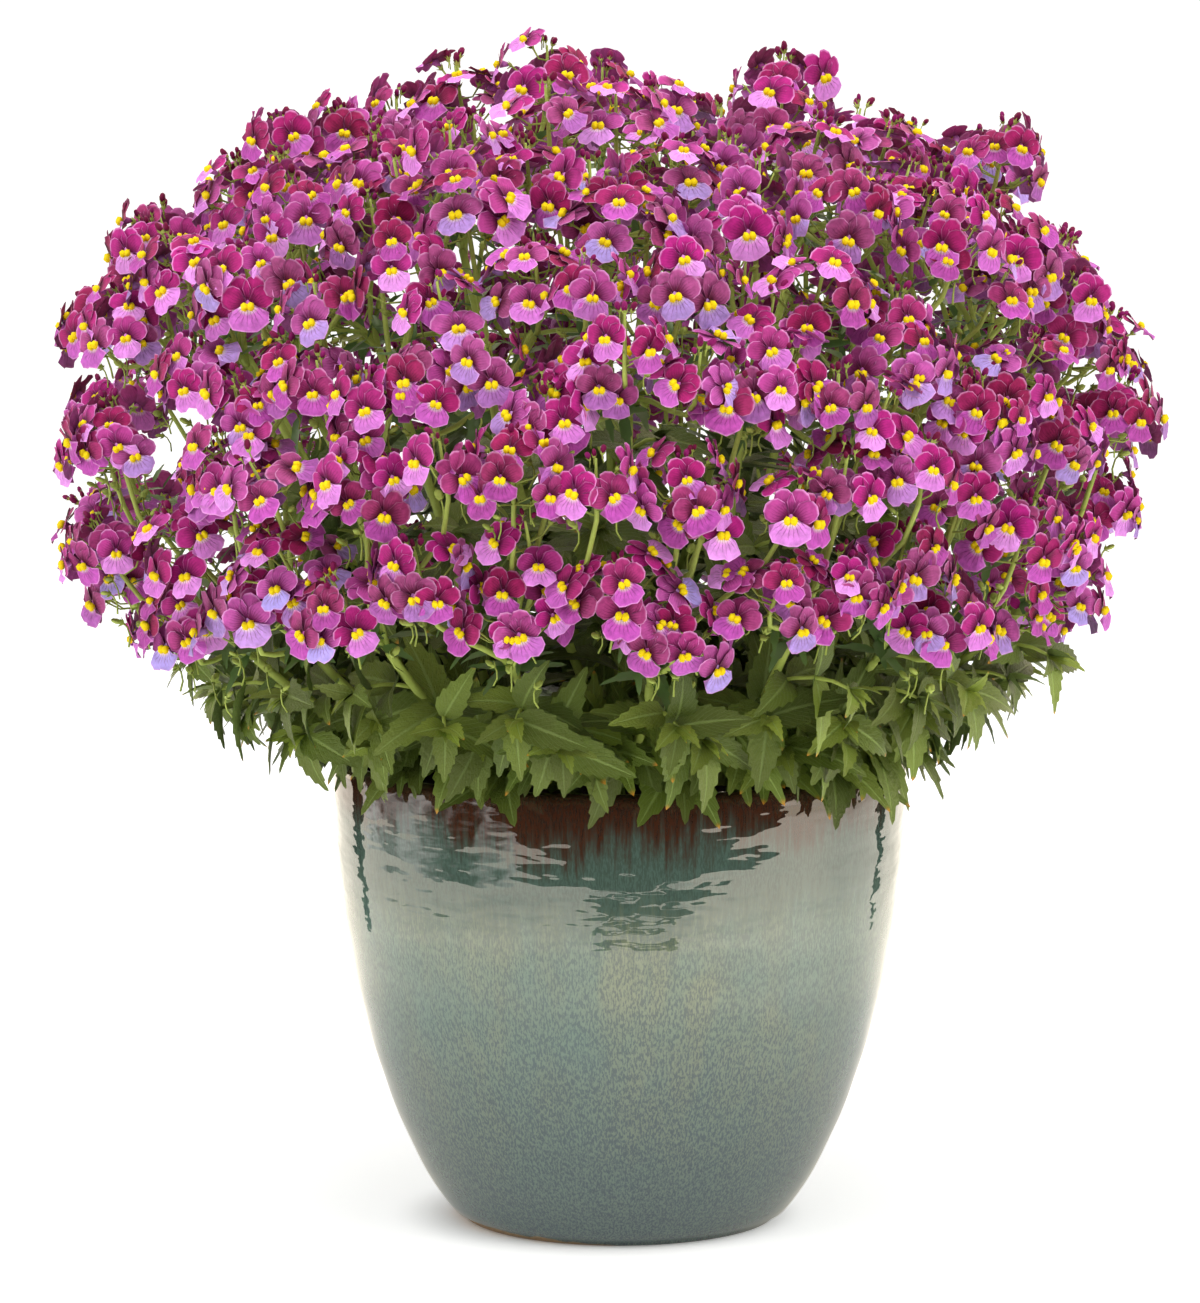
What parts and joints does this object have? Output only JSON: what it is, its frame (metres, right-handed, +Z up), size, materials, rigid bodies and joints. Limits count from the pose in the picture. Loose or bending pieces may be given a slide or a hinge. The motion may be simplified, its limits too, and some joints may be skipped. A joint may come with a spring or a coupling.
{
  "type": "potted nemesia",
  "caption": "Egg-shaped glazed pot of soil with leafy stems that carry a broad dome of two-lipped magenta and lilac flowers.",
  "frame": {"origin": "on the ground, under the middle of the pot's foot ring", "axes": "+Z up along the pot's axis, -Y towards the viewer of the picture, +X to the viewer's right"},
  "size_m": [0.4802, 0.4814, 0.4991],
  "materials": {
    "glaze": "gloss",
    "soil": "matte",
    "leaf": "satin",
    "petal": "matte"
  },
  "bodies": {
    "root": {"pot": "glaze", "soil": "soil", "leafy_stem_01": "leaf", "leafy_stem_02": "leaf", "leafy_stem_03": "leaf", "leafy_stem_04": "leaf", "leafy_stem_05": "leaf", "leafy_stem_06": "leaf", "leafy_stem_07": "leaf", "leafy_stem_08": "leaf", "leafy_stem_09": "leaf", "leafy_stem_10": "leaf", "leafy_stem_11": "leaf", "leafy_stem_12": "leaf", "bunch_01": "petal", "bunch_02": "petal", "bunch_03": "petal", "bunch_04": "petal", "bunch_05": "petal", "bunch_06": "petal", "bunch_07": "petal", "bunch_08": "petal", "bunch_09": "petal", "bunch_10": "petal", "bunch_11": "petal", "bunch_12": "petal", "bunch_13": "petal", "bunch_14": "petal", "bunch_15": "petal", "bunch_16": "petal", "bunch_17": "petal", "bunch_18": "petal", "bunch_19": "petal", "bunch_20": "petal", "bunch_21": "petal", "bunch_22": "petal", "bunch_23": "petal", "bunch_24": "petal", "bunch_25": "petal", "bunch_26": "petal", "bunch_27": "petal", "bunch_28": "petal", "bunch_29": "petal", "bunch_30": "petal", "bunch_31": "petal", "bunch_32": "petal", "bunch_33": "petal", "bunch_34": "petal", "bunch_35": "petal", "bunch_36": "petal", "bunch_37": "petal", "bunch_38": "petal", "bunch_39": "petal", "bunch_40": "petal", "bunch_41": "petal", "bunch_42": "petal", "bunch_43": "petal", "bunch_44": "petal", "bunch_45": "petal", "bunch_46": "petal"}
  },
  "joints": []
}
